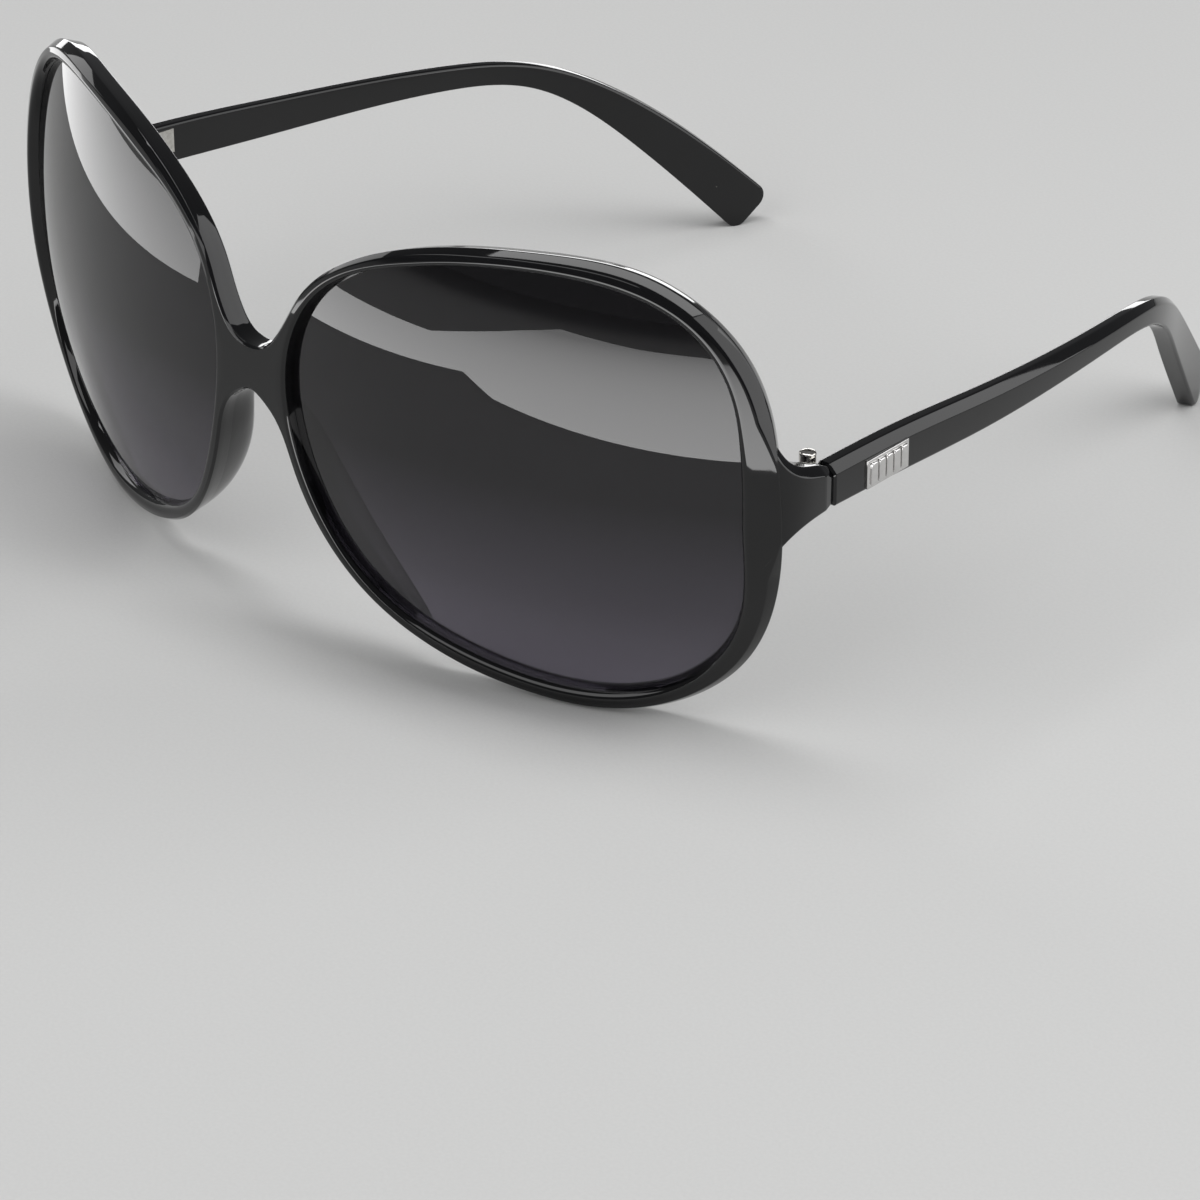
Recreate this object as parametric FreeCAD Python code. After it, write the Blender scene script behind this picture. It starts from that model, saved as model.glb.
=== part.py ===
import FreeCAD, Part
import math
import os

from FreeCAD import Placement, Rotation, Vector

# Oversized wrap sunglasses: a moulded front with two spherical lenses, and two
# bevelled arms on screwed barrel hinges. Millimetres; the wearer looks along -Y,
# +X is the wearer's left, +Z is up and the glasses stand on Z = 0.
os.makedirs("parts", exist_ok=True)

# Lenses and front
lens_width = 65.5
lens_height = 61.0
nose_half_gap = 6.7
face_wrap = 19.5
front_tilt = 2.1
front_radius = 98.3
lens_recess = 1.6
lens_thickness = 1.5
groove_depth = 0.6
lens_play = 0.04

# Rims
rim_depth = 3.7
rim_top = 1.35
rim_shoulder = 2.2
rim_side = 4.0
rim_corner = 3.0
rim_bottom = 2.4
rim_nose = 1.55
rim_bevel = 0.55
rim_back_bevel = 0.45
opening_bevel = 0.25

# Bridge
bridge_top = 8.4
bridge_bottom = 2.0
saddle_half_width = 6.4
saddle_rise = 5.4
notch_half_width = 4.5
notch_drop = 2.9

# Nose pads
pad_reach = 4.5
pad_seat = 0.8
pad_step = 0.1
pad_thickness = 2.4

# End-pieces and the joint with the arms
endpiece_out = 0.6
endpiece_run = 9.1
endpiece_lip = 1.2
joint_z = 1.9
joint_gap = 0.12
joint_height = 5.7
joint_thickness = 2.9
toe_in = 5.0
endpiece_flare_up = 3.4
endpiece_flare_down = 3.6
endpiece_swell = 0.5

# Arms
arm_bevel = 0.95
arm_edge = 0.3
arm_leaf_height = 5.75
arm_mid_height = 5.2
arm_bend_height = 3.5
arm_drop_height = 6.0
arm_tip_height = 7.7
arm_mid_thickness = 2.7
arm_bend_thickness = 2.4
arm_tip_thickness = 2.3
leaf_run = 16.0
mid_run = 32.5
straight_run = 63.5
bend_length = 13.9
drop_length = 15.6
paddle_length = 15.4
ear_drop_angle = 43.0
tip_inset = 27.5
tip_corner = 1.8
tip_flat = 0.2

# Hinges
knuckle_count = 3
knuckle_radius = 1.1
hinge_height = 5.6
hinge_rise = 0.5
hinge_gap = 0.35
knuckle_play = 0.06
screw_radius = 0.6
screw_play = 0.03
screw_head_height = 0.5
leaf_thickness = 1.0
leaf_proud = 0.15
leaf_web = 0.9
front_leaf_length = 5.0
front_leaf_height = 5.0
temple_leaf_length = 15.0
temple_leaf_height = 3.6
temple_leaf_drop = 0.2
anchor_side = 1.0
anchor_length = 1.2
anchor_spacing = 2.4

# Plaques and core wires
plaque_length = 8.6
plaque_height = 4.0
plaque_thickness = 1.0
plaque_sink = 0.3
plaque_start = 6.4
plaque_drop = 0.85
flute_count = 5
flute_depth = 0.3
pin_side = 0.9
pin_length = 1.3
pin_spacing = 4.6
wire_height = 1.6
wire_thickness = 0.8
wire_tip_gap = 8.0

# Rim opening as seen along the lens axis, in shares of the lens width and height: from
# the arm side over the brow to the bridge, then from below the bridge round the cheek.
opening_over = [(0.474, 0.053), (0.436, 0.314), (0.250, 0.467), (0.049, 0.487), (-0.269, 0.427),
                (-0.477, 0.267)]
opening_under = [(-0.491, -0.117), (-0.317, -0.383), (-0.027, -0.499), (0.178, -0.505), (0.388, -0.380)]
nose_share = 0.523
opening_shape = opening_over + opening_under
bridge_gap = len(opening_over)
front_cut = 10.0
bevel_cut = 1.0

X_AXIS = Vector(1, 0, 0)
Y_AXIS = Vector(0, 1, 0)
Z_AXIS = Vector(0, 0, 1)
nose_reach = nose_share * lens_width
nose_sag = front_radius - math.sqrt(front_radius ** 2 - nose_reach ** 2)
wrap = math.radians(face_wrap)
lens_offset = nose_half_gap + nose_reach * math.cos(wrap) + nose_sag * math.sin(wrap)
lens_frame = Placement(Vector(lens_offset, 0, 0), Rotation(X_AXIS, front_tilt) * Rotation(Z_AXIS, face_wrap))
centre = lens_frame.multVec(Vector(0, front_radius, 0))


def rim_width(angle):
    """Front width of the rim at an angle round the lens: slim on top, fuller by the arm and cheek."""
    stops = [(0, rim_side), (32, rim_shoulder), (80, rim_top), (165, rim_nose), (215, rim_nose),
             (270, rim_bottom), (318, rim_corner), (338, rim_corner), (360, rim_side)]
    for (a0, w0), (a1, w1) in zip(stops, stops[1:]):
        if a0 <= angle <= a1:
            t = (angle - a0) / (a1 - a0)
            return w0 + (w1 - w0) * t * t * (3 - 2 * t)


def front_point(u, v):
    """Point of the front face at u along the lens and v up from its centre."""
    sag = front_radius - math.sqrt(front_radius ** 2 - u * u - v * v)
    return lens_frame.multVec(Vector(u, sag, v))


def bridge_point(x, z):
    """Point of the front face near the bridge, where it runs level across the nose."""
    out = max(0.0, x - centre.x)
    return Vector(x, centre.y - math.sqrt(front_radius ** 2 - out * out - (z - centre.z) ** 2), z)


def ring(grow):
    """Rim opening grown outwards by a margin, or by the rim's own width."""
    points = []
    for su, sv in opening_shape:
        u, v = su * lens_width, sv * lens_height
        radius = math.hypot(u, v)
        margin = rim_width(math.degrees(math.atan2(v, u)) % 360) if grow is None else grow
        points.append(front_point(u * (1 + margin / radius), v * (1 + margin / radius)))
    return points


def towards_centre(point, depth):
    return centre + (point - centre) * ((front_radius - depth) / front_radius)


def walls_through(face_points, deep_points, closed, ahead, behind):
    """Solid whose walls run straight through an outline on the front and another one deeper down."""
    back_to_lens = lens_frame.inverse()
    pairs = [(back_to_lens.multVec(p), back_to_lens.multVec(q)) for p, q in zip(face_points, deep_points)]
    wires = []
    for plane in (-ahead, behind):
        places = [lens_frame.multVec(p + (q - p) * ((plane - p.y) / (q.y - p.y))) for p, q in pairs]
        curve = Part.BSplineCurve()
        curve.interpolate(Points=places, PeriodicFlag=closed)
        edges = [curve.toShape()]
        if not closed:
            edges.append(Part.LineSegment(places[-1], places[0]).toShape())
        wires.append(Part.Wire(edges))
    return Part.makeLoft(wires, True, True)


def radial_solid(points, closed=True):
    """Solid whose walls stand square to the front, towards the sphere's centre."""
    deep = [towards_centre(p, rim_depth) for p in points]
    return walls_through(points, deep, closed, front_cut, front_cut * 2)


def shell(top, bottom, level_to=None):
    """Spherical shell between two depths; with level_to it runs level from there across the nose."""
    r1, r2 = front_radius - top, front_radius - bottom
    def at(radius, degrees):
        a = math.radians(degrees)
        return centre + Vector(radius * math.sin(a), -radius * math.cos(a), 0)
    low = -14.0 if level_to is None else 0.0
    edges = [Part.Arc(at(r1, low), at(r1, 20), at(r1, 50)).toShape(),
             Part.LineSegment(at(r1, 50), at(r2, 50)).toShape(),
             Part.Arc(at(r2, 50), at(r2, 20), at(r2, low)).toShape()]
    if level_to is None:
        edges.append(Part.LineSegment(at(r2, low), at(r1, low)).toShape())
    else:
        a, b = at(r2, 0), at(r1, 0)
        a0, b0 = Vector(level_to, a.y, a.z), Vector(level_to, b.y, b.z)
        edges += [Part.LineSegment(a, a0).toShape(), Part.LineSegment(a0, b0).toShape(),
                  Part.LineSegment(b0, b).toShape()]
    face = Part.Face(Part.Wire(edges))
    face.rotate(centre, X_AXIS, -40)
    return face.revolve(centre, X_AXIS, 80)


def rim_edges(shape, depth):
    """Edges where the walls meet the face at a depth, without the seam across that face."""
    found = []
    for edge in shape.Edges:
        kinds = [f.Surface.TypeId for f in shape.ancestorsOfType(edge, Part.Face)]
        walls = [k for k in kinds if k == "Part::GeomBSplineSurface"]
        skins = [k for k in kinds if k in ("Part::GeomSphere", "Part::GeomCylinder")]
        middle = edge.valueAt((edge.FirstParameter + edge.LastParameter) / 2)
        out = Vector(max(0.0, middle.x - centre.x), middle.y - centre.y, middle.z - centre.z)
        if walls and skins and abs(out.Length - (front_radius - depth)) < 0.05:
            found.append(edge)
    return found


# Half front: outline with half the bridge, cut from the curved sheet, edges eased
outer = ring(None)
saddle = [bridge_point(saddle_half_width * x, bridge_top + saddle_rise * z)
          for x, z in ((0, 0), (0.48, 0.16), (0.78, 0.56), (1, 1))]
notch = [bridge_point(notch_half_width * x, bridge_bottom - notch_drop * z)
         for x, z in ((1, 1), (0.42, 0.24), (0, 0))]


def across(points):
    return [Vector(-p.x, p.y, p.z) for p in points]


half_outline = across(saddle[:0:-1]) + saddle + outer[:bridge_gap][::-1] + outer[bridge_gap:][::-1]
half_outline += notch + across(notch[-2::-1])
blank = shell(0, rim_depth, 0.0).common(radial_solid(half_outline, False)).Solids[0]
half_front = blank.makeChamfer(rim_bevel, rim_edges(blank, 0))
half_front = half_front.makeChamfer(rim_back_bevel, rim_edges(half_front, rim_depth))
half_front = half_front.cut(radial_solid(ring(0)))
eased = [towards_centre(p, opening_bevel) for p in ring(0)]
half_front = half_front.cut(walls_through(ring(opening_bevel), eased, True, bevel_cut, front_cut))

# Joint frame: x' out of the arm's outer face, y' back along the arm, z' up
rim_start = opening_shape[0][0] * lens_width + rim_side / 2
rim_edge = front_point(rim_start + rim_side / 2, joint_z)
joint_x, joint_y = rim_edge.x + endpiece_out, rim_edge.y + endpiece_run
joint = Placement(Vector(joint_x, joint_y, joint_z), Rotation(Z_AXIS, toe_in))
half_gap = joint_gap / 2
leaf_face = -joint_thickness - leaf_proud
leaf_in = leaf_thickness - joint_thickness


def box(x0, x1, y0, y1, z0, z1):
    solid = Part.makeBox(x1 - x0, y1 - y0, z1 - z0, Vector(x0, y0, z0))
    solid.Placement = joint.multiply(solid.Placement)
    return solid


def rod(radius, start, end):
    """Round bar between two points of the joint frame."""
    a, b = joint.multVec(start), joint.multVec(end)
    return Part.makeCylinder(radius, (b - a).Length, a, b - a)


def bevelled(face_point, out, up, thickness, top, bottom, bevel):
    """Section of an arm or end-piece: flat faces, a bevel on the outer top edge, eased edges."""
    e = arm_edge
    corners = [(0, bottom + e), (0, top - bevel), (-bevel, top), (e - thickness, top), (-thickness, top - e),
               (-thickness, bottom), (-e, bottom)]
    points = [face_point + out * a + up * b for a, b in corners]
    return Part.makePolygon(points + points[:1])


# End-piece: sweeps from the rim's outer face back to the joint, narrowing as it goes, with an eased lip
start = towards_centre(front_point(rim_start, joint_z), opening_bevel)
heading = front_point(rim_start + rim_bevel, joint_z) - front_point(rim_start, joint_z)
heading.normalize()
finish = joint.multVec(Vector(0, -half_gap, 0))
back = joint.Rotation.multVec(Y_AXIS)
span = (finish - start).Length
sweep = Part.BezierCurve()
sweep.setPoles([start, start + heading * (span * 0.4), finish - back * (span * 0.45), finish])
sections = []
for t in (0, 0.3, 0.65, 1 - endpiece_lip / span, 1):
    at, along = sweep.value(t), sweep.tangent(t)[0]
    out = Vector(along.y, -along.x, 0).normalize()
    ease = arm_edge if t == 1 else 0
    thickness = (1 - t) * rim_depth + t * joint_thickness + 4 * t * (1 - t) * endpiece_swell - ease
    top = joint_z + joint_height / 2 + endpiece_flare_up * (1 - t) ** 2 - ease
    bottom = joint_z - joint_height / 2 - endpiece_flare_down * (1 - t) ** 2 + ease
    face_point = Vector(at.x, at.y, 0) - out * ease
    sections.append(bevelled(face_point, out, Z_AXIS, thickness, top, bottom, arm_bevel))
endpiece = Part.makeLoft(sections[:-1], True, False).fuse(Part.makeLoft(sections[-2:], True, True))
half_front = half_front.fuse(endpiece)

# Nose pad: bonded behind the nose side of the rim, deepest at mid height, feathered at both ends
edge = Part.BSplineCurve()
edge.interpolate(Points=half_outline)
below_bridge, nostril, cheek = [edge.parameter(p) for p in outer[bridge_gap:bridge_gap + 3]]
flank = [notch[1], notch[0], outer[bridge_gap], edge.value((below_bridge + nostril) / 2),
         edge.value((2 * nostril + cheek) / 3)]
flank_reach = [0.3, 0.8, 1.0, 0.85, 0.3]
sections = []
for i in range(len(flank)):
    before, after = flank[max(i - 1, 0)], flank[min(i + 1, len(flank) - 1)]
    deep = (centre - flank[i]).normalize()
    along = (after - before).normalize()
    away = deep.cross(along).normalize()
    if away.x > 0:
        away = -away
    reach = pad_reach * flank_reach[i]
    thick = pad_thickness * (0.5 + 0.5 * flank_reach[i])
    corners = [(-pad_step, rim_depth - pad_seat), (-pad_step, rim_depth + 0.5 * reach),
               (-0.45 * thick, rim_depth + reach), (-thick, rim_depth + 0.65 * reach),
               (-pad_step - pad_seat, rim_depth - pad_seat)]
    points = [flank[i] + away * a + deep * d for a, d in corners]
    sections.append(Part.makePolygon(points + points[:1]))
pad = Part.makeLoft(sections, True, False).cut(blank)

# Lens and its groove
lens = shell(lens_recess, lens_recess + lens_thickness).common(radial_solid(ring(groove_depth - lens_play)))
groove = shell(lens_recess - lens_play, lens_recess + lens_thickness + lens_play)
half_front = half_front.cut(groove.common(radial_solid(ring(groove_depth))))

# Arm: bevelled bar that runs straight, slims towards the ear, bends down and widens to a paddle
ground = half_front.optimalBoundingBox(False, False).ZMin
inset = math.tan(math.radians(toe_in))
tip_z = ground + arm_tip_height / 2 * math.cos(math.radians(ear_drop_angle)) - 0.41 * tip_corner - tip_flat
drop = joint_z - tip_z
bend_run = straight_run + bend_length
drop_run = bend_run + drop_length
arm_run = drop_run + paddle_length
mid_line = joint_x - joint_thickness / 2
stations = [
    (half_gap, 0, 0, joint_height, joint_thickness, arm_bevel),
    (leaf_run, leaf_run * inset, 0.02 * drop, arm_leaf_height, joint_thickness, arm_bevel),
    (mid_run, mid_run * inset, 0.055 * drop, arm_mid_height, arm_mid_thickness, arm_bevel),
    (straight_run, 0.28 * tip_inset, 0.115 * drop, arm_bend_height, arm_bend_thickness, arm_bevel * 0.8),
    (bend_run, 0.43 * tip_inset, 0.19 * drop, arm_bend_height, arm_bend_thickness, arm_bevel * 0.7),
    (drop_run, 0.73 * tip_inset, 0.51 * drop, arm_drop_height, arm_tip_thickness, arm_bevel * 0.6),
    (arm_run, tip_inset, drop, arm_tip_height, arm_tip_thickness, arm_bevel * 0.5),
]
path_points = [Vector(mid_line - x, joint_y + y, joint_z - z) for y, x, z, *_ in stations]
path = Part.BSplineCurve()
path.interpolate(Points=path_points)
arm_sections = []
wire_sections = []
for point, (y, x, z, height, thickness, bevel) in zip(path_points, stations):
    along = path.tangent(path.parameter(point))[0]
    if y < mid_run:
        along = joint.Rotation.multVec(Y_AXIS)
    out = Vector(along.y, -along.x, 0).normalize()
    up = out.cross(along)
    outer_face = point + out * (thickness / 2)
    arm_sections.append(bevelled(outer_face, out, up, thickness, height / 2, -height / 2, bevel))
    wire_point = point
    if y == leaf_run:
        wire_point = joint.multVec(Vector(leaf_in, half_gap + temple_leaf_length, -z))
    if y == arm_run:
        wire_point = point - along * wire_tip_gap
    if y >= leaf_run:
        corners = [wire_point + out * (a * wire_thickness / 2) + up * (b * wire_height / 2)
                   for a, b in ((1, 1), (-1, 1), (-1, -1), (1, -1), (1, 1))]
        wire_sections.append(Part.makePolygon(corners))
arm = Part.makeLoft(arm_sections, True, False)
half_tip = arm_tip_height / 2
for side in (-1, 1):
    corner = path_points[-1] + up * (side * half_tip)
    inner = corner - up * (side * tip_corner) - along * tip_corner
    keep = Part.makeCylinder(tip_corner, 2 * arm_tip_thickness, inner - out * arm_tip_thickness, out)
    waste = [corner - up * (side * tip_corner), corner, corner - along * tip_corner, inner]
    waste = [p - out * arm_tip_thickness for p in waste + waste[:1]]
    waste = Part.Face(Part.makePolygon(waste)).extrude(out * (2 * arm_tip_thickness))
    arm = arm.cut(waste.cut(keep))
below = Part.makeBox(2 * arm_run, 2 * arm_run, arm_run, Vector(0, 0, ground - arm_run))
arm = arm.cut(below)
core_wire = Part.makeLoft(wire_sections, True, True)
arm = arm.cut(core_wire)

# Hinge: leaves sunk in the inner faces, interleaved knuckles on one upright screw
axis_x = -(joint_thickness + hinge_gap + knuckle_radius)
hinge_low = hinge_rise - hinge_height / 2
pitch = hinge_height / knuckle_count


def knuckles(first, side):
    """Every second knuckle with the web that ties it to its leaf on that side of the joint."""
    solids = []
    for i in range(first, knuckle_count, 2):
        z0, z1 = hinge_low + i * pitch + knuckle_play / 2, hinge_low + (i + 1) * pitch - knuckle_play / 2
        solids.append(rod(knuckle_radius, Vector(axis_x, 0, z0), Vector(axis_x, 0, z1)))
        near, far = sorted((side * half_gap, side * (half_gap + leaf_web)))
        solids.append(box(axis_x, leaf_face, near, far, z0, z1))
    return solids


bore = rod(screw_radius + screw_play, Vector(axis_x, 0, hinge_low - 1),
           Vector(axis_x, 0, hinge_low + hinge_height + 1))
front_plate = box(leaf_face, leaf_in, -half_gap - front_leaf_length, -half_gap,
                  -front_leaf_height / 2, front_leaf_height / 2)
front_leaf = front_plate.multiFuse(knuckles(0, -1)).cut(bore).removeSplitter()
temple_plate = box(leaf_face, leaf_in, half_gap, half_gap + temple_leaf_length,
                   -temple_leaf_drop - temple_leaf_height / 2, -temple_leaf_drop + temple_leaf_height / 2)
temple_leaf = temple_plate.multiFuse(knuckles(1, 1)).cut(bore).removeSplitter()

hinge_top = hinge_low + hinge_height - knuckle_play / 2
screw = rod(screw_radius, Vector(axis_x, 0, hinge_low), Vector(axis_x, 0, hinge_top + screw_head_height))

anchors = []
for side in (-1, 1):
    y = -half_gap - front_leaf_length / 2 + side * anchor_spacing / 2
    anchors.append(box(leaf_in, leaf_in + anchor_length, y - anchor_side / 2, y + anchor_side / 2,
                       -anchor_side / 2, anchor_side / 2))
anchors = Part.makeCompound(anchors)

# Plaque let into the arm's outer face and held by two square pins
plaque_mid = plaque_start + plaque_length / 2
plaque = box(-plaque_sink, plaque_thickness - plaque_sink, plaque_start, plaque_start + plaque_length,
             -plaque_drop - plaque_height / 2, -plaque_drop + plaque_height / 2)
flute = plaque_length / flute_count
for i in range(1, flute_count):
    y, top = plaque_start + flute * i, plaque_thickness - plaque_sink
    corners = [(top, y - flute_depth), (top, y + flute_depth), (top - flute_depth, y), (top, y - flute_depth)]
    points = [joint.multVec(Vector(a, b, -plaque_drop - plaque_height)) for a, b in corners]
    plaque = plaque.cut(Part.Face(Part.makePolygon(points)).extrude(Z_AXIS * (2 * plaque_height)))
pins = []
for side in (-1, 1):
    y = plaque_mid + side * pin_spacing / 2
    pins.append(box(-plaque_sink - pin_length, -plaque_sink, y - pin_side / 2, y + pin_side / 2,
                    -plaque_drop - pin_side / 2, -plaque_drop + pin_side / 2))
pins = Part.makeCompound(pins)
plaque_seat = box(-plaque_sink, 2, plaque_start, plaque_start + plaque_length,
                  -plaque_drop - plaque_height / 2, -plaque_drop + plaque_height / 2)
arm = arm.cut(temple_plate).cut(pins).cut(plaque_seat)
half_front = half_front.cut(front_leaf).cut(anchors)

# Both sides, moved so that the glasses stand on Z = 0 with the middle of their depth at Y = 0
front = half_front.fuse(half_front.mirror(Vector(0, 0, 0), X_AXIS))
pieces = {"front_frame": front}
for name, shape in (("lens", lens), ("nose_pad", pad), ("temple", arm), ("core_wire", core_wire),
                    ("hinge_front_leaf", front_leaf), ("hinge_temple_leaf", temple_leaf),
                    ("hinge_screw", screw), ("leaf_anchors", anchors), ("plaque", plaque),
                    ("plaque_pins", pins)):
    pieces[name + "_left"] = shape
    pieces[name + "_right"] = shape.mirror(Vector(0, 0, 0), X_AXIS)
reach = [pieces[n].optimalBoundingBox(False, False) for n in ("front_frame", "temple_left")]
shift = Vector(0, -(reach[0].YMin + reach[1].YMax) / 2, -ground)
for name, shape in pieces.items():
    shape.translate(shift)
    shape.exportStep("parts/%s.step" % name)
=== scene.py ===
import math

import bmesh
import bpy
import numpy as np
from mathutils import Matrix, Vector


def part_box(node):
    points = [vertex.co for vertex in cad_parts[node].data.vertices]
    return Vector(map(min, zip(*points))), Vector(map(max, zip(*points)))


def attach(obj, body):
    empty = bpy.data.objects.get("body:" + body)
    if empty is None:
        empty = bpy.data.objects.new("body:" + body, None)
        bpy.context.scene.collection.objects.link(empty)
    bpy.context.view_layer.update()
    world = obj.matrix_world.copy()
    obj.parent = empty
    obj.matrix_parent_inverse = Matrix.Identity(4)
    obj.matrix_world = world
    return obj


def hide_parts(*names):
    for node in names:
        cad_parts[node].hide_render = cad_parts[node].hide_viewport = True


# Oversized sunglasses: polished black front and arms, graded smoke lenses, nickel silver hinges
# and a fluted rhodium plate on each arm.
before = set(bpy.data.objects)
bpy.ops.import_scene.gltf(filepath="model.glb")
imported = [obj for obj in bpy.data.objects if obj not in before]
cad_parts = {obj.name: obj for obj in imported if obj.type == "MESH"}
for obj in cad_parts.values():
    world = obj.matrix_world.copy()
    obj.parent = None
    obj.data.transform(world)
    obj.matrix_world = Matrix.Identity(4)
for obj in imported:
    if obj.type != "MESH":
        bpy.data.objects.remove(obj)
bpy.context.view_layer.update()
MM = 0.001
SIDES = ("left", "right")

# Sizes are in millimetres. Lenses and the sphere that the front lies on, as in the solids
lens_offset = 41.05
lens_centre_height = 33.24
depth_shift = -65.86
face_wrap = math.radians(19.5)
front_tilt = math.radians(2.1)
front_radius = 98.3
lens_recess = 1.6
lens_thickness = 1.5
lens_seat = 0.5
lens_segments = 240
lens_rings = 28
tint_low = 2.0
tint_high = 64.0

# Rim opening as a circle pulled into a rounded square by a few waves: order, cosine, sine
opening_mean = 32.335
opening_waves = [(2, 1.316, -0.523), (3, -1.339, 0.764), (4, -1.000, -0.159), (5, -0.117, 0.188), (6, -0.160, -0.119)]

# Rims and bridge
rim_depth = 3.7
rim_top = 1.35
rim_shoulder = 2.2
rim_side = 4.0
rim_corner = 3.0
rim_bottom = 2.4
rim_nose = 1.55
rim_back_round = 0.45
opening_back_round = 0.25
groove_depth = 0.6
groove_play = 0.04
groove_front = lens_recess - groove_play
groove_back = lens_recess + lens_thickness + groove_play
bridge_top = 8.4
bridge_bottom = 2.0
saddle_half_width = 6.4
saddle_rise = 5.4
notch_half_width = 4.5
notch_drop = 2.9
outline_steps = 340
middle_steps = 8

# Round the lens, at degrees from its outer side: front width of the rim, its cover over the lens edge,
# the flat bevel on its outer edge and the rounding of its opening
rim_widths = [(0, rim_side), (32, rim_shoulder), (80, rim_top), (165, rim_nose), (215, rim_nose),
              (270, rim_bottom), (318, rim_corner), (338, rim_corner), (360, rim_side)]
rim_covers = [(0, 0.7), (22, 1.1), (60, 1.1), (115, 0.7), (150, 0.0), (320, 0.0), (360, 0.7)]
rim_bevels = [(0, 1.2), (35, 1.2), (65, 1.1), (95, 0.9), (125, 0.65), (160, 0.3), (215, 0.3),
              (250, 0.55), (275, 0.7), (318, 0.9), (360, 1.2)]
opening_rounds = [(0, 0.8), (60, 0.65), (110, 0.5), (165, 0.5), (200, 0.65), (225, 0.9), (250, 1.2), (285, 1.3),
                  (318, 1.0), (360, 0.8)]

# The bevel's eased profile in bevel widths: share of the way from the wall to the front face,
# further inset and further depth
bevel_profile = [(1, 0.12, 0), (1, 0.03, 0.02), (1, -0.06, 0.09), (0.5, 0.015, 0.015),
                 (0, 0.09, -0.06), (0, 0.02, 0.03), (0, 0, 0.12)]
bevel_reach = 1.12

# The bevel fades out near the end-piece, in degrees round the lens
endpiece_angle = 3.0
bevel_stop = 8.0
bevel_fade = 10.0
bevel_least = 0.08

# Nose pads
pad_reach = 4.5
pad_thickness = 2.4
pad_root = 0.9
pad_round = 3.0
pad_sink = 2.6
pad_proud = 0.02
pad_shoulder = 0.5
pad_crest = 1.1
pad_feather = 0.6
pad_steps = 48

# End-pieces
joint_z = 1.9
joint_gap = 0.12
joint_height = 5.7
joint_thickness = 2.9
toe_in = math.radians(5.0)
hinge_inset = 4.35
endpiece_sink = 0.05
endpiece_pull_front = 0.4
endpiece_pull_back = 0.45
endpiece_flare_up = 6.5
endpiece_neck_up = 1.5
endpiece_flare_down = 4.0
endpiece_neck_down = 2.2
endpiece_swell = 0.5
endpiece_crest = 1.1
endpiece_lip = 1.2
endpiece_steps = 24
lip_step = 0.004

# Arms: runs back from the joint, heights and thicknesses there
leaf_run = 16.0
mid_run = 32.5
straight_run = 63.5
bend_run = 77.4
drop_run = 93.0
arm_run = 108.4
arm_leaf_height = 5.75
arm_mid_height = 5.2
arm_mid_thickness = 2.7
arm_bend_height = 3.5
arm_bend_thickness = 2.4
arm_drop_height = 6.0
arm_tip_height = 7.7
arm_tip_thickness = 2.6
arm_edge = 0.3
arm_bevel = 1.2
arm_round = 0.2
arm_first_step = 0.6
arm_steps = 90
ear_drop_angle = math.radians(43.0)
tip_inset = 27.5
tip_corner = 1.8
tip_corner_off = 0.41
tip_flat = 0.2

# Hinge screws
screw_shank = 0.55
screw_head = 1.1
head_height = 0.5
head_wall = 0.15
screw_steps = 48
slot_half_width = 0.14
slot_depth = 0.22
slot_turn = math.radians(35)

# Plaques
plaque_length = 8.6
plaque_height = 4.0
plaque_thickness = 1.0
plaque_border = 0.4
plaque_sink = 0.3
plaque_start = 6.4
plaque_drop = 0.85
base_thickness = 0.62
base_soft = 0.12
flute_count = 5
flute_thickness = 0.6
flute_share = 0.8
flute_soft = 0.28

# Meshes: edges sharper than this stay crisp, points nearer than this are one, step along a curve for its direction
crisp_angle = math.radians(40)
same_place = 1e-4
outline_probe = 0.01
arm_probe = 0.05
rim_probe = 0.5


def linear(hex_colour):
    """sRGB hex to linear RGBA."""
    parts = [int(hex_colour[i:i + 2], 16) / 255 for i in (1, 3, 5)]
    return [p / 12.92 if p <= 0.04045 else ((p + 0.055) / 1.055) ** 2.4 for p in parts] + [1.0]


def node(tree, kind, settings=None, stops=(), **links):
    """Adds a node with its settings, its colour stops and its links, each from another node's output."""
    made = tree.nodes.new("ShaderNode" + kind)
    for key, value in (settings or {}).items():
        if hasattr(made, key):
            setattr(made, key, value)
        else:
            made.inputs[key].default_value = value
    while stops and len(made.color_ramp.elements) < len(stops):
        made.color_ramp.elements.new(0.5)
    for i, (place, colour) in enumerate(stops):
        made.color_ramp.elements[i].position = place
        made.color_ramp.elements[i].color = linear(colour) if isinstance(colour, str) else [colour] * 3 + [1.0]
    for key, socket in links.items():
        tree.links.new(socket, made.inputs[key.replace("_", " ")])
    return made


def new_material(name):
    """Material with its tree and its shader."""
    material = bpy.data.materials.new(name)
    material.use_nodes = True
    tree = material.node_tree
    return material, tree, tree.nodes["Principled BSDF"]


def mottled(name, grain, detail, **ranges):
    """Material whose sockets each drift between two stops, over grains of a size in millimetres."""
    material, tree, shader = new_material(name)
    place = node(tree, "TexCoord").outputs["Object"]
    drift = node(tree, "TexNoise", {"Scale": 1 / (grain * MM), "Detail": detail}, Vector=place)
    for key, stops in ranges.items():
        made = node(tree, "ValToRGB", stops=stops, Fac=drift.outputs["Fac"])
        tree.links.new(made.outputs["Color"], shader.inputs[key.replace("_", " ")])
    return material, shader


def polished_acetate():
    """Black cellulose acetate, tumbled and buffed: near-black, mirror-smooth, with faint polishing haze."""
    material, shader = mottled("polished black acetate", grain=6.0, detail=4.0,
                               Base_Color=[(0.3, "#040405"), (0.7, "#08080A")],
                               Roughness=[(0.35, 0.03), (0.75, 0.06)])
    shader.inputs["IOR"].default_value = 1.48
    return material


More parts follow.
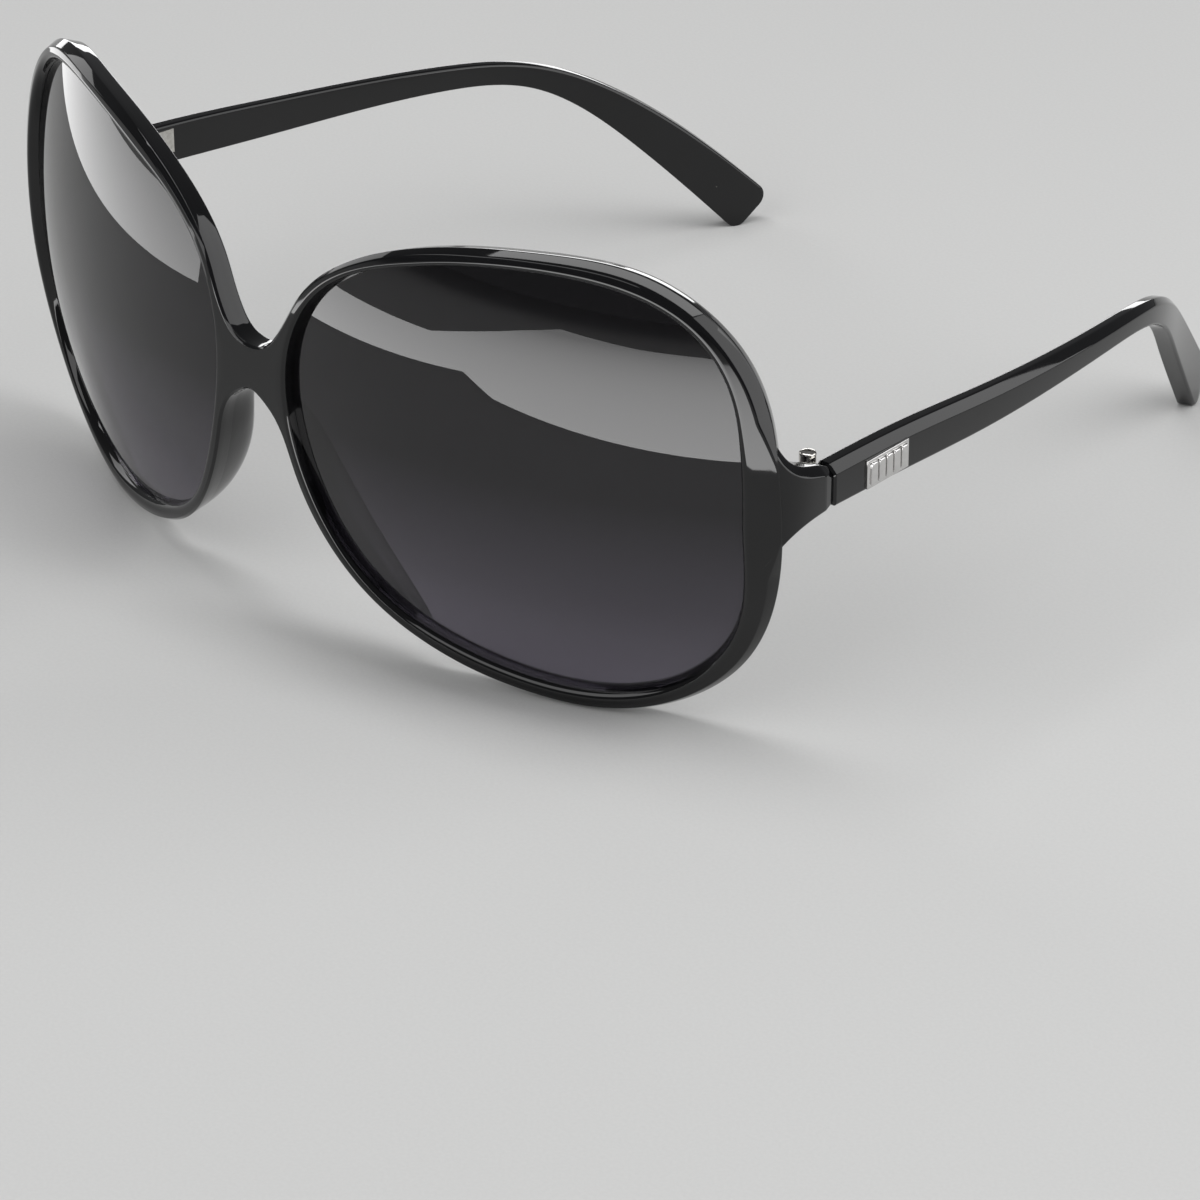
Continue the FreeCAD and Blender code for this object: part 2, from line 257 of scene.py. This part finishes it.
def smoke_lens():
    """Dyed CR-39 lens: glass-smooth, nearly black at the brow and a paler violet grey at the cheek."""
    material, tree, shader = new_material("graded smoke CR-39")
    place = node(tree, "TexCoord").outputs["Object"]
    height = node(tree, "SeparateXYZ", Vector=place).outputs["Z"]
    rise = node(tree, "MapRange", {"From Min": tint_low * MM, "From Max": tint_high * MM}, Value=height)
    tint = node(tree, "ValToRGB", Fac=rise.outputs["Result"],
                stops=[(0.0, "#77727F"), (0.25, "#49454F"), (0.5, "#1C1A1E"), (1.0, "#100F11")])
    tree.links.new(tint.outputs["Color"], shader.inputs["Base Color"])
    shader.inputs["Transmission Weight"].default_value = 0.9
    shader.inputs["Roughness"].default_value = 0.0
    shader.inputs["IOR"].default_value = 1.5
    return material


def nickel_silver():
    """Nickel silver hinge stock, barrelled bright: a clean shine with faint mottling."""
    material, shader = mottled("barrelled nickel silver", grain=0.5, detail=3.0,
                               Base_Color=[(0.3, "#B9B7B2"), (0.7, "#D6D4CF")],
                               Roughness=[(0.3, 0.14), (0.7, 0.24)])
    shader.inputs["Metallic"].default_value = 1.0
    return material


def rhodium_plate():
    """Rhodium-plated trim, hand polished: bright silver with a slightly uneven shine."""
    material, shader = mottled("polished rhodium plate", grain=0.8, detail=2.0,
                               Base_Color=[(0.3, "#CBCAC9"), (0.7, "#D2D1D0")],
                               Roughness=[(0.3, 0.08), (0.7, 0.12)])
    shader.inputs["Metallic"].default_value = 1.0
    return material


def floor_paper():
    """Background paper, matt: pale grey with a faint tooth."""
    material, shader = mottled("matt paper sweep", grain=0.5, detail=2.0,
                               Base_Color=[(0.3, "#CECECD"), (0.7, "#D1D1D0")])
    shader.inputs["Roughness"].default_value = 0.9
    return material


acetate = polished_acetate()
smoke = smoke_lens()
silver = nickel_silver()
rhodium = rhodium_plate()


def placed(name, bm, material):
    """Object at the origin from a bmesh, which it uses up."""
    mesh = bpy.data.meshes.new(name)
    bm.to_mesh(mesh)
    bm.free()
    mesh.materials.append(material)
    made = bpy.data.objects.new(name, mesh)
    bpy.context.scene.collection.objects.link(made)
    return made


def finished(name, bm, material, slot, body, *nodes):
    """Smooth piece from a bmesh in millimetres, on a body, in place of CAD nodes."""
    bmesh.ops.scale(bm, vec=(MM, MM, MM), verts=bm.verts)
    bmesh.ops.recalc_face_normals(bm, faces=bm.faces)
    for edge in bm.edges:
        edge.smooth = len(edge.link_faces) != 2 or edge.calc_face_angle() < crisp_angle
    for face in bm.faces:
        face.smooth = True
    made = placed(name, bm, material)
    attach(made, body)
    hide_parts(*nodes)
    return made


def curve_through(points, knots=None):
    """Smooth curve through rows of values: its knots, spaced as the points are, and a function of the knot value."""
    p = np.array(points, float)
    if knots is None:
        knots = np.concatenate([[0.0], np.cumsum(np.linalg.norm(np.diff(p, axis=0), axis=1))])
    step = np.diff(knots)
    rows, bends = np.eye(len(p)), np.zeros_like(p)
    for i in range(1, len(p) - 1):
        rows[i, i - 1:i + 2] = step[i - 1], 2 * (step[i - 1] + step[i]), step[i]
        bends[i] = 6 * ((p[i + 1] - p[i]) / step[i] - (p[i] - p[i - 1]) / step[i - 1])
    bends = np.linalg.solve(rows, bends)

    def at(value):
        i = int(np.clip(np.searchsorted(knots, value) - 1, 0, len(step) - 1))
        before, after = knots[i + 1] - value, value - knots[i]
        straight = (p[i] * before + p[i + 1] * after) / step[i]
        bent = bends[i] * (before ** 3 / step[i] - step[i] * before)
        bent = bent + bends[i + 1] * (after ** 3 / step[i] - step[i] * after)
        return straight + bent / 6
    return knots, at


def rounded(corners, radius, steps=4, most=0.45):
    """Closed section with its corners rounded off, over at most a share of each side."""
    points = []
    for i in range(len(corners)):
        before, corner, after = (Vector(corners[k % len(corners)]) for k in (i - 1, i, i + 1))
        a, b = before - corner, after - corner
        a = corner + a.normalized() * min(radius, a.length * most)
        b = corner + b.normalized() * min(radius, b.length * most)
        for k in range(steps + 1):
            t = k / steps
            points.append(a * (1 - t) ** 2 + corner * (2 * t * (1 - t)) + b * t * t)
    return points


def quarter(steps=5):
    """Angles of a quarter turn."""
    return [math.radians(90 * k / steps) for k in range(steps + 1)]


def skin(bm, sections, ends=True):
    """Skin drawn from one closed section to the next; without ends the last section meets the first."""
    layer = bm.verts.layers.int.get("place") or bm.verts.layers.int.new("place")
    ring = bmesh.ops.create_circle(bm, segments=len(sections[0]), radius=1.0)["verts"]
    for i, vert in enumerate(ring):
        vert[layer] = i
        vert.co = sections[0][i]
    edges = list(dict.fromkeys(edge for vert in ring for edge in vert.link_edges))
    first = edges
    for section in sections[1:]:
        made = bmesh.ops.extrude_edge_only(bm, edges=edges)["geom"]
        verts = {part for part in made if isinstance(part, bmesh.types.BMVert)}
        for vert in verts:
            vert.co = section[vert[layer]]
        edges = [part for part in made if isinstance(part, bmesh.types.BMEdge) and verts.issuperset(part.verts)]
    if ends:
        bmesh.ops.edgeloop_fill(bm, edges=first)
        bmesh.ops.edgeloop_fill(bm, edges=edges)
    else:
        bmesh.ops.bridge_loops(bm, edges=first + edges)


def on_side(bm, side):
    """Built for the left; scaled across for the right."""
    if side == "right":
        bmesh.ops.scale(bm, vec=(-1, 1, 1), verts=bm.verts)
    return bm


# Lens frame: origin at the lens centre on the front face, y towards the face
lens_turn = Matrix.Rotation(front_tilt, 4, "X") @ Matrix.Rotation(face_wrap, 4, "Z")
lens_place = Matrix.Translation(Vector((lens_offset, depth_shift, lens_centre_height))) @ lens_turn
centre = lens_place @ Vector((0, front_radius, 0))


def opening_radius(angle):
    return opening_mean + sum(c * math.cos(n * angle) + s * math.sin(n * angle) for n, c, s in opening_waves)


def between(stops, degrees):
    """Value at an angle round the lens, easing from one stop to the next."""
    for (a0, v0), (a1, v1) in zip(stops, stops[1:]):
        if a0 <= degrees <= a1:
            t = (degrees - a0) / (a1 - a0)
            return v0 + (v1 - v0) * t * t * (3 - 2 * t)


def on_lens(angle, radius, depth=0.0):
    """Point under the front sphere, at an angle and radius round the lens axis."""
    u, v = radius * math.cos(angle), radius * math.sin(angle)
    face = lens_place @ Vector((u, front_radius - math.sqrt(front_radius ** 2 - radius ** 2), v))
    return face + (centre - face) * (depth / front_radius)


def on_front(x, z, depth=0.0):
    """Point under the front face seen at x and z: a sphere round the lens that runs level across the nose."""
    out = max(0.0, x - centre.x)
    face = Vector((x, centre.y - math.sqrt(front_radius ** 2 - out ** 2 - (z - centre.z) ** 2), z))
    axis = Vector((min(x, centre.x), centre.y, centre.z))
    return face + (axis - face) * (depth / front_radius)


def rim_point(degrees):
    """Place on the rim's outer edge, seen from the front."""
    angle = math.radians(degrees)
    place = on_lens(angle, opening_radius(angle) + between(rim_widths, degrees))
    return place.x, place.z


# Outline of the half front as seen from the front, from the saddle over the brow and round to the notch,
# with a little of the other half at both ends
saddle = [(saddle_half_width * x, lens_centre_height + bridge_top + saddle_rise * z)
          for x, z in ((0, 0), (0.48, 0.16), (0.78, 0.56), (1, 1))]
notch = [(notch_half_width * x, lens_centre_height + bridge_bottom - notch_drop * z)
         for x, z in ((1, 1), (0.42, 0.24), (0, 0))]
over = [rim_point(a) for a in (152, 124, 84, 60, 34, 6)]
under = [rim_point(a) for a in (318, 291, 267, 228, 192)]
before_saddle = [(-x, z) for x, z in saddle[:0:-1]]
after_notch = [(-x, z) for x, z in notch[-2::-1]]
knots, outline = curve_through(before_saddle + saddle + over + under + notch + after_notch)
saddle_knot = knots[len(before_saddle)]
under_start = len(before_saddle + saddle + over)
cheek_knot, nostril_knot = knots[under_start + 2], knots[under_start + 3]
notch_start = under_start + len(under)
notch_side_knot, notch_knot = knots[notch_start + 1], knots[notch_start + 2]


def edge_at(value, inset=0.0):
    """Place on the outline, moved inwards by an inset."""
    x, z = outline(value)
    dx, dz = outline(value + outline_probe) - outline(value - outline_probe)
    length = math.hypot(dx, dz)
    return x + dz / length * inset, z - dx / length * inset


def rim_places():
    """Round the half front: knot on the outline or share of the middle line, whether it is on the middle,
    and the angle seen from the lens centre."""
    places = []
    for i in range(outline_steps + middle_steps):
        share = (i - outline_steps) / middle_steps
        if i <= outline_steps:
            knot = saddle_knot + (notch_knot - saddle_knot) * i / outline_steps
            x, z = edge_at(knot)
        else:
            knot = None
            x, z = 0.0, lens_centre_height + bridge_bottom + (bridge_top - bridge_bottom) * share
        seen = lens_place.inverted() @ on_front(x, z)
        places.append((knot, share, i in (0, outline_steps), math.atan2(seen.z, seen.x)))
    return places


def rim_section(bevel, opening_round, cover):
    """Closed section of the rim: inset from the outline, depth, share of the way to the opening and margin there."""
    back, reach = rim_back_round, bevel_reach * bevel
    # Outer bevel with eased edges, outer wall, rounded back edge and back
    rows = [(bevel * (edge + inset), bevel * (1 - edge + depth), 0, 0) for edge, inset, depth in bevel_profile]
    rows += [(0, reach + (rim_depth - reach - back) * k / 3, 0, 0) for k in (1, 2)]
    rows += [(back * (1 - math.cos(a)), rim_depth - back * (1 - math.sin(a)), 0, 0) for a in quarter()]
    rows += [(back, rim_depth, k / 4, opening_back_round - cover) for k in (1, 2, 3, 4)]
    # Opening with the lens groove, its rounded front edge, and the front face
    rows += [(0, depth, 1, -cover) for depth in (rim_depth - opening_back_round, groove_back)]
    rows += [(0, depth, 1, groove_depth) for depth in (groove_back, groove_front)]
    rows += [(0, groove_front, 1, -cover)]
    rows += [(0, opening_round * (1 - math.sin(a)), 1, opening_round * (1 - math.cos(a)) - cover) for a in quarter()]
    rows += [(reach, 0, k / 5, opening_round - cover) for k in (4, 3, 2, 1)]
    return rows


def rim_at(knot, share, on_middle, angle):
    """The rim's section set on the front at one place."""
    degrees = math.degrees(angle) % 360
    from_endpiece = abs((degrees - endpiece_angle + 180) % 360 - 180)
    fade = min(1.0, max(bevel_least, (from_endpiece - bevel_stop) / bevel_fade))
    bevel = between(rim_bevels, degrees) * fade
    points = []
    for inset, depth, towards_eye, margin in rim_section(
            bevel, between(opening_rounds, degrees), between(rim_covers, degrees)):
        if knot is None:
            x, z = 0.0, lens_centre_height + (bridge_bottom + inset) * (1 - share) + (bridge_top - inset) * share
        else:
            x, z = edge_at(knot, inset)
        if on_middle:
            x = 0.0
        if towards_eye:
            eye = on_lens(angle, opening_radius(angle) + margin)
            x, z = x + (eye.x - x) * towards_eye, z + (eye.z - z) * towards_eye
        points.append(on_front(x, z, depth))
    return points


def front():
    """One-piece front: a bevelled rim section drawn round the opening and the bridge, with the end-pieces, mirrored."""
    bm = bmesh.new()
    round_the_rim = [rim_at(*place) for place in rim_places()]
    skin(bm, list(zip(*round_the_rim)), False)
    middle = [face for face in bm.faces if all(abs(vert.co.x) < same_place / 10 for vert in face.verts)]
    bmesh.ops.delete(bm, geom=middle, context="FACES_ONLY")
    skin(bm, endpiece_sections())
    bmesh.ops.mirror(bm, geom=bm.verts[:] + bm.edges[:] + bm.faces[:], axis="X", merge_dist=same_place)
    bmesh.ops.remove_doubles(bm, verts=bm.verts, dist=same_place)
    return finished("front", bm, acetate, "black_gloss", "front", "front_frame")


# Joint frame: x out of the arm's outer face, y back along the arm, z up; the hinge screw gives its place
screw_low, screw_high = (Vector(corner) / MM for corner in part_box("hinge_screw_left"))
joint_turn = Matrix.Rotation(toe_in, 4, "Z")
joint_back = joint_turn.to_3x3() @ Vector((0, 1, 0))
joint_level = lens_centre_height + joint_z
hinge_axis = Vector(((screw_low.x + screw_high.x) / 2, (screw_low.y + screw_high.y) / 2, joint_level))
joint = Matrix.Translation(hinge_axis) @ joint_turn @ Matrix.Translation(Vector((hinge_inset, 0, 0)))


def bevelled(place, out, up, thickness, top, bottom, bevel, ease=0.0):
    """Section of an arm or end-piece: flat faces, a bevel on the outer top edge, eased edges."""
    e = arm_edge
    corners = [(-ease, bottom + e + ease), (-ease, top - bevel - ease), (-bevel, top - ease),
               (e - thickness, top - ease), (-thickness, top - e - ease), (-thickness, bottom + ease),
               (-e - ease, bottom + ease)]
    return [place + out * p.x + up * p.y for p in rounded([(a, b, 0) for a, b in corners], arm_round)]


def endpiece_sections():
    """From inside the rim back to the joint, narrowing as it sweeps, with an eased lip."""
    side = opening_radius(0) + rim_side / 2
    start = on_lens(joint_z / side, side, endpiece_sink)
    heading = (on_lens(joint_z / side, side + rim_probe, endpiece_sink) - start).normalized()
    finish = joint @ Vector((0, -joint_gap / 2, 0))
    span = (finish - start).length
    poles = [start, start + heading * span * endpiece_pull_front,
             finish - joint_back * span * endpiece_pull_back, finish]
    lip = 1 - endpiece_lip / span
    shares = [lip * k / endpiece_steps for k in range(endpiece_steps + 1)] + [lip + lip_step, 1 - lip_step, 1]
    sections = []
    for t in shares:
        weights = [(1 - t) ** 3, 3 * t * (1 - t) ** 2, 3 * t * t * (1 - t), t ** 3]
        slopes = [-(1 - t) ** 2, (1 - t) * (1 - 3 * t), t * (2 - 3 * t), t * t]
        at = sum((p * w for p, w in zip(poles, weights)), Vector())
        along = sum((p * w for p, w in zip(poles, slopes)), Vector())
        out = Vector((along.y, -along.x, 0)).normalized()
        ease = max(0.0, (t - lip) / (1 - lip)) * arm_edge
        thickness = (1 - t) * rim_depth + t * joint_thickness + 4 * t * (1 - t) * endpiece_swell
        top = joint_height / 2 + endpiece_flare_up * (1 - t) ** 4 + endpiece_neck_up * (1 - t) ** 2
        top += 4 * t * (1 - t) * endpiece_crest
        bottom = -joint_height / 2 - endpiece_flare_down * (1 - t) ** 4 - endpiece_neck_down * (1 - t) ** 2
        place = Vector((at.x, at.y, joint_level))
        section = bevelled(place, out, Vector((0, 0, 1)), thickness, top, bottom, arm_bevel, ease)
        # The root follows the front's curve up and down
        sections.append([p - out * ((p.z - place.z) ** 2 / (2 * front_radius) * (1 - t)) for p in section])
    return sections


def arm(side):
    """Bevelled bar that runs straight, slims towards the ear, bends down and widens to a paddle with round corners."""
    middle = joint @ Vector((-joint_thickness / 2, 0, 0))
    inset = math.tan(toe_in)
    tip_middle = arm_tip_height / 2 * math.cos(ear_drop_angle) - tip_corner_off * tip_corner - tip_flat
    drop = joint_level - tip_middle
    # Run back, inset, drop, height, thickness and bevel at each station
    stations = [
        (joint_gap / 2, 0, 0, joint_height, joint_thickness, arm_bevel),
        (leaf_run, leaf_run * inset, 0.02 * drop, arm_leaf_height, joint_thickness, arm_bevel),
        (mid_run, mid_run * inset, 0.055 * drop, arm_mid_height, arm_mid_thickness, arm_bevel),
        (straight_run, 0.28 * tip_inset, 0.115 * drop, arm_bend_height, arm_bend_thickness, arm_bevel * 0.8),
        (bend_run, 0.43 * tip_inset, 0.19 * drop, arm_bend_height, arm_bend_thickness, arm_bevel * 0.7),
        (drop_run, 0.73 * tip_inset, 0.51 * drop, arm_drop_height, arm_tip_thickness, arm_bevel * 0.6),
        (arm_run, tip_inset, drop, arm_tip_height, arm_tip_thickness, arm_bevel * 0.5),
    ]
    places = [(middle.x - x, middle.y + y, middle.z - z) for y, x, z, *_ in stations]
    runs, path = curve_through(places)
    end = runs[-1]
    rows = []
    for run, place, (y, *_, tall, thick, bevel) in zip(runs, places, stations):
        along = Vector(path(min(run + arm_probe, end)) - path(max(run - arm_probe, 0))).normalized()
        if y < mid_run:
            along = joint_back
        out = Vector((along.y, -along.x, 0)).normalized()
        rows.append([*place, *out, *out.cross(along), tall, thick, bevel])
    _, shape = curve_through(rows, runs)
    values = [0, arm_edge] + list(np.linspace(arm_first_step, end - tip_corner, arm_steps))
    values += [end - tip_corner * (1 - math.sin(a)) for a in quarter(8)[1:]]
    sections = []
    for value in values:
        row = shape(value)
        at, out, up = Vector(row[0:3]), Vector(row[3:6]).normalized(), Vector(row[6:9]).normalized()
        tall, thick, bevel = row[9:]
        into_corner = max(0.0, value - (end - tip_corner))
        tall -= 2 * (tip_corner - math.sqrt(max(0.0, tip_corner ** 2 - into_corner ** 2)))
        ease = arm_edge if value == 0 else 0.0
        section = bevelled(at + out * (thick / 2), out, up, thick, tall / 2, -tall / 2, bevel, ease)
        sections.append([Vector((p.x, p.y, max(p.z, 0.0))) for p in section])
    bm = bmesh.new()
    skin(bm, sections)
    return finished("arm_" + side, on_side(bm, side), acetate, "black_gloss", side + "_temple", "temple_" + side)


def nose_pad(side):
    """Blade bonded behind the nose side of the rim, deepest at mid height and feathered at both ends."""
    low, high = (2 * nostril_knot + cheek_knot) / 3, notch_side_knot
    seat = rim_depth - pad_sink
    sections = []
    for k in range(1, pad_steps):
        t = k / pad_steps
        feather = math.sin(math.pi * t) ** pad_feather
        reach, thick = pad_reach * feather, pad_root + (pad_thickness - pad_root) * feather
        shoulder, crest = rim_depth + pad_shoulder * reach, rim_depth + pad_crest * reach
        corners = [(-pad_proud, seat), (-pad_proud, shoulder), (0.5 * thick, crest),
                   (thick, shoulder), (pad_root, seat)]
        places = []
        for p in rounded([(a, d, 0) for a, d in corners], pad_round):
            x, z = edge_at(low + (high - low) * t, p.x)
            places.append(on_front(x, z, p.y))
        sections.append(places)
    bm = bmesh.new()
    skin(bm, sections)
    return finished("pad_" + side, on_side(bm, side), acetate, "black_gloss", "front", "nose_pad_" + side)


def lens(side):
    """Spherical disc from a fan of rings, thickened towards the eye, its edge in the rim's groove."""
    bm = bmesh.new()
    bmesh.ops.create_circle(bm, cap_ends=True, cap_tris=True, segments=lens_segments, radius=1.0)
    hub = min(bm.verts, key=lambda vert: vert.co.length)
    bmesh.ops.subdivide_edges(bm, edges=list(hub.link_edges), cuts=lens_rings)
    for vert in bm.verts:
        angle, share = math.atan2(vert.co.y, vert.co.x), vert.co.length
        vert.co = on_lens(angle, (opening_radius(angle) + lens_seat) * share, lens_recess)
    back = bmesh.ops.extrude_face_region(bm, geom=bm.faces[:])["geom"]
    share = (front_radius - lens_recess - lens_thickness) / (front_radius - lens_recess)
    for part in back:
        if isinstance(part, bmesh.types.BMVert):
            part.co = centre + (part.co - centre) * share
    return finished("smoke_lens_" + side, on_side(bm, side), smoke, "smoke_lens", "front", "lens_" + side)


def hinge_screw(side):
    """Slotted screw with a domed head on top of the knuckles."""
    bm = bmesh.new()
    head_low = screw_high.z - head_height
    dome_low = head_low + head_wall
    rise = screw_high.z - head_low - head_wall
    profile = [(0, screw_low.z), (screw_shank, screw_low.z), (screw_shank, head_low), (screw_head, head_low)]
    profile += [(screw_head * math.cos(a), dome_low + rise * math.sin(a)) for a in quarter(6)]
    verts = [bm.verts.new((r, 0, z)) for r, z in profile]
    edges = [bm.edges.new(pair) for pair in zip(verts, verts[1:])]
    bmesh.ops.spin(bm, geom=verts + edges, cent=(0, 0, 0), axis=(0, 0, 1), angle=math.tau, steps=screw_steps,
                   use_merge=True)
    bmesh.ops.remove_doubles(bm, verts=bm.verts, dist=same_place)
    for edge in (slot_half_width, -slot_half_width):
        everything = bm.verts[:] + bm.edges[:] + bm.faces[:]
        bmesh.ops.bisect_plane(bm, geom=everything, plane_co=(0, edge, 0), plane_no=(0, 1, 0))
    middles = [(face, face.calc_center_median()) for face in bm.faces]
    slot = [face for face, middle in middles if middle.z > dome_low and abs(middle.y) < slot_half_width]
    slot_floor = bmesh.ops.extrude_face_region(bm, geom=slot)["geom"]
    for part in slot_floor:
        if isinstance(part, bmesh.types.BMVert):
            part.co.z -= slot_depth
    bmesh.ops.delete(bm, geom=slot, context="FACES_ONLY")
    bmesh.ops.rotate(bm, verts=bm.verts, matrix=Matrix.Rotation(slot_turn, 3, "Z"))
    bmesh.ops.translate(bm, verts=bm.verts, vec=(hinge_axis.x, hinge_axis.y, 0))
    return finished("screw_" + side, on_side(bm, side), silver, "bright_steel", "front", "hinge_screw_" + side)


def soft_block(bm, size, middle, soft):
    """Block with softened edges."""
    shape = Matrix.Translation(middle) @ Matrix.Diagonal((*size, 1))
    verts = bmesh.ops.create_cube(bm, size=1.0, matrix=shape)["verts"]
    edges = list(dict.fromkeys(edge for vert in verts for edge in vert.link_edges))
    bmesh.ops.bevel(bm, geom=edges, offset=soft, affect="EDGES", segments=4, profile=0.5, material=-1)


def plaque(side):
    """Plain trim plate let into the arm: a row of half-round flutes on a thin base."""
    bm = bmesh.new()
    soft_block(bm, (base_thickness, plaque_length, plaque_height), Vector((base_thickness / 2, 0, 0)), base_soft)
    pitch = (plaque_length - 2 * plaque_border) / flute_count
    flute = (flute_thickness, pitch * flute_share, plaque_height - 2 * plaque_border)
    for i in range(flute_count):
        along = (i - (flute_count - 1) / 2) * pitch
        soft_block(bm, flute, Vector((plaque_thickness - flute_thickness / 2, along, 0)), flute_soft)
    place = Matrix.Translation((-plaque_sink, plaque_start + plaque_length / 2, -plaque_drop))
    bmesh.ops.transform(bm, matrix=joint @ place, verts=bm.verts)
    on_side(bm, side)
    return finished("trim_plate_" + side, bm, rhodium, "silver_plate", side + "_temple", "plaque_" + side)


front()
for side in SIDES:
    lens(side)
    nose_pad(side)
    arm(side)
    hinge_screw(side)
    plaque(side)
    for name in ("hinge_front_leaf", "hinge_temple_leaf", "leaf_anchors", "core_wire"):
        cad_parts["%s_%s" % (name, side)].data.materials[0] = silver
    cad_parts["plaque_pins_" + side].data.materials[0] = rhodium


# Studio, in metres: pale floor, softboxes above and around, and two lit panels on the floor
# that the lenses mirror, in a dim grey surround
floor_half_width = 4.0
panel_lift = 0.004
panel_bright_to = 0.15
panel_dim_from = 0.60
panel_dim_share = 0.4
glasses = (0, 0, 0.03)


def floor():
    """Wide sheet of background paper."""
    bm = bmesh.new()
    bmesh.ops.create_grid(bm, x_segments=1, y_segments=1, size=floor_half_width)
    made = placed("floor", bm, floor_paper())


def softbox(name, place, target, width, depth, radiance, turn=0.0):
    """Soft lamp facing a point; its power follows from its area and brightness."""
    lamp = bpy.data.lights.new(name, "AREA")
    lamp.shape = "RECTANGLE"
    lamp.size, lamp.size_y = width, depth
    lamp.energy = radiance * math.pi * width * depth
    made = bpy.data.objects.new(name, lamp)
    facing = (Vector(target) - Vector(place)).to_track_quat("-Z", "Y").to_matrix().to_4x4()
    made.matrix_world = Matrix.Translation(place) @ facing @ Matrix.Rotation(math.radians(turn), 4, "Z")
    made.visible_camera = False
    bpy.context.scene.collection.objects.link(made)


def lit_sheet(name, radiance):
    """Lit from within: glows on its upper side only, brightest near the glasses and fading away from them."""
    material, tree, shader = new_material("lit " + name)
    tree.nodes.remove(shader)
    away = node(tree, "VectorMath", {"operation": "LENGTH"}, Vector=node(tree, "TexCoord").outputs["Object"])
    fade = node(tree, "MapRange", {"From Min": panel_bright_to, "From Max": panel_dim_from, "To Min": radiance,
                                   "To Max": panel_dim_share * radiance}, Value=away.outputs["Value"])
    glow = node(tree, "Emission", Strength=fade.outputs["Result"])
    clear = node(tree, "BsdfTransparent")
    sides = node(tree, "MixShader", Fac=node(tree, "NewGeometry").outputs["Backfacing"])
    tree.links.new(glow.outputs[0], sides.inputs[1])
    tree.links.new(clear.outputs[0], sides.inputs[2])
    tree.links.new(sides.outputs[0], tree.nodes["Material Output"].inputs["Surface"])
    return material


def low_panel(name, radiance, corners):
    """Lit sheet that lies on the floor; the camera and light that has come through a lens don't see it."""
    bm = bmesh.new()
    bm.faces.new([bm.verts.new((x, y, panel_lift)) for x, y in corners])
    bmesh.ops.triangulate(bm, faces=bm.faces)
    bmesh.ops.recalc_face_normals(bm, faces=bm.faces)
    if sum(face.normal.z for face in bm.faces) < 0:
        bmesh.ops.reverse_faces(bm, faces=bm.faces)
    panel = placed(name, bm, lit_sheet(name, radiance))
    panel.visible_camera = False
    panel.visible_transmission = False


floor()
softbox("overhead", (0.06, 0.01, 0.95), (0.06, 0.01, 0), width=1.25, depth=0.28, radiance=4.2, turn=12)
softbox("front", (-0.07, -0.76, 0.57), (0, -0.05, 0.04), width=0.9, depth=0.45, radiance=2.0)
softbox("rear right", (0.60, 0.60, 0.45), glasses, width=0.8, depth=0.75, radiance=1.8)
softbox("right", (0.815, 0.204, 0.411), glasses, width=0.35, depth=0.995, radiance=2.1)
softbox("left", (-0.88, -0.03, 0.38), glasses, width=0.35, depth=0.35, radiance=1.8)
softbox("rear left strip", (-0.75, 0.62, 0.10), glasses, width=0.90, depth=0.16, radiance=4.0)
low_panel("front panel", 6.5, [(-0.11, -0.183), (-0.003, -0.227), (0.02, -0.192), (0.135, -0.112), (0.33, -0.44),
                               (0.29, -0.52), (0.20, -0.56), (0.086, -0.70), (0.017, -0.52), (-0.054, -0.313),
                               (-0.154, -0.289)])
low_panel("far panel", 4.0, [(-0.113, -0.154), (-0.234, -0.032), (-0.29, 0.023), (-0.375, -0.062), (-0.329, -0.153),
                             (-0.281, -0.216), (-0.198, -0.239)])
world = bpy.data.worlds.new("surround")
world.use_nodes = True
surround = world.node_tree.nodes["Background"]
surround.inputs["Color"].default_value = linear("#D8D9DB")
surround.inputs["Strength"].default_value = 0.22
bpy.context.scene.world = world

# Camera at the photograph's angle
azimuth, elevation, roll = math.radians(44.73), math.radians(28.26), math.radians(-0.21)
camera_place = Vector((478.01, -424.12 + depth_shift, 344.94)) * MM
back = Vector((math.sin(azimuth) * math.cos(elevation), -math.cos(azimuth) * math.cos(elevation), math.sin(elevation)))
right = Vector((math.cos(azimuth), math.sin(azimuth), 0))
turn = Matrix((right, back.cross(right), back)).transposed() @ Matrix.Rotation(roll, 3, "Z")
camera_data = bpy.data.cameras.new("camera")
camera_data.sensor_width = 36.0
camera_data.lens = 163.97
camera = bpy.data.objects.new("camera", camera_data)
camera.matrix_world = Matrix.Translation(camera_place) @ turn.to_4x4()
bpy.context.scene.collection.objects.link(camera)
bpy.context.scene.camera = camera
bpy.context.scene.view_settings.view_transform = "Standard"
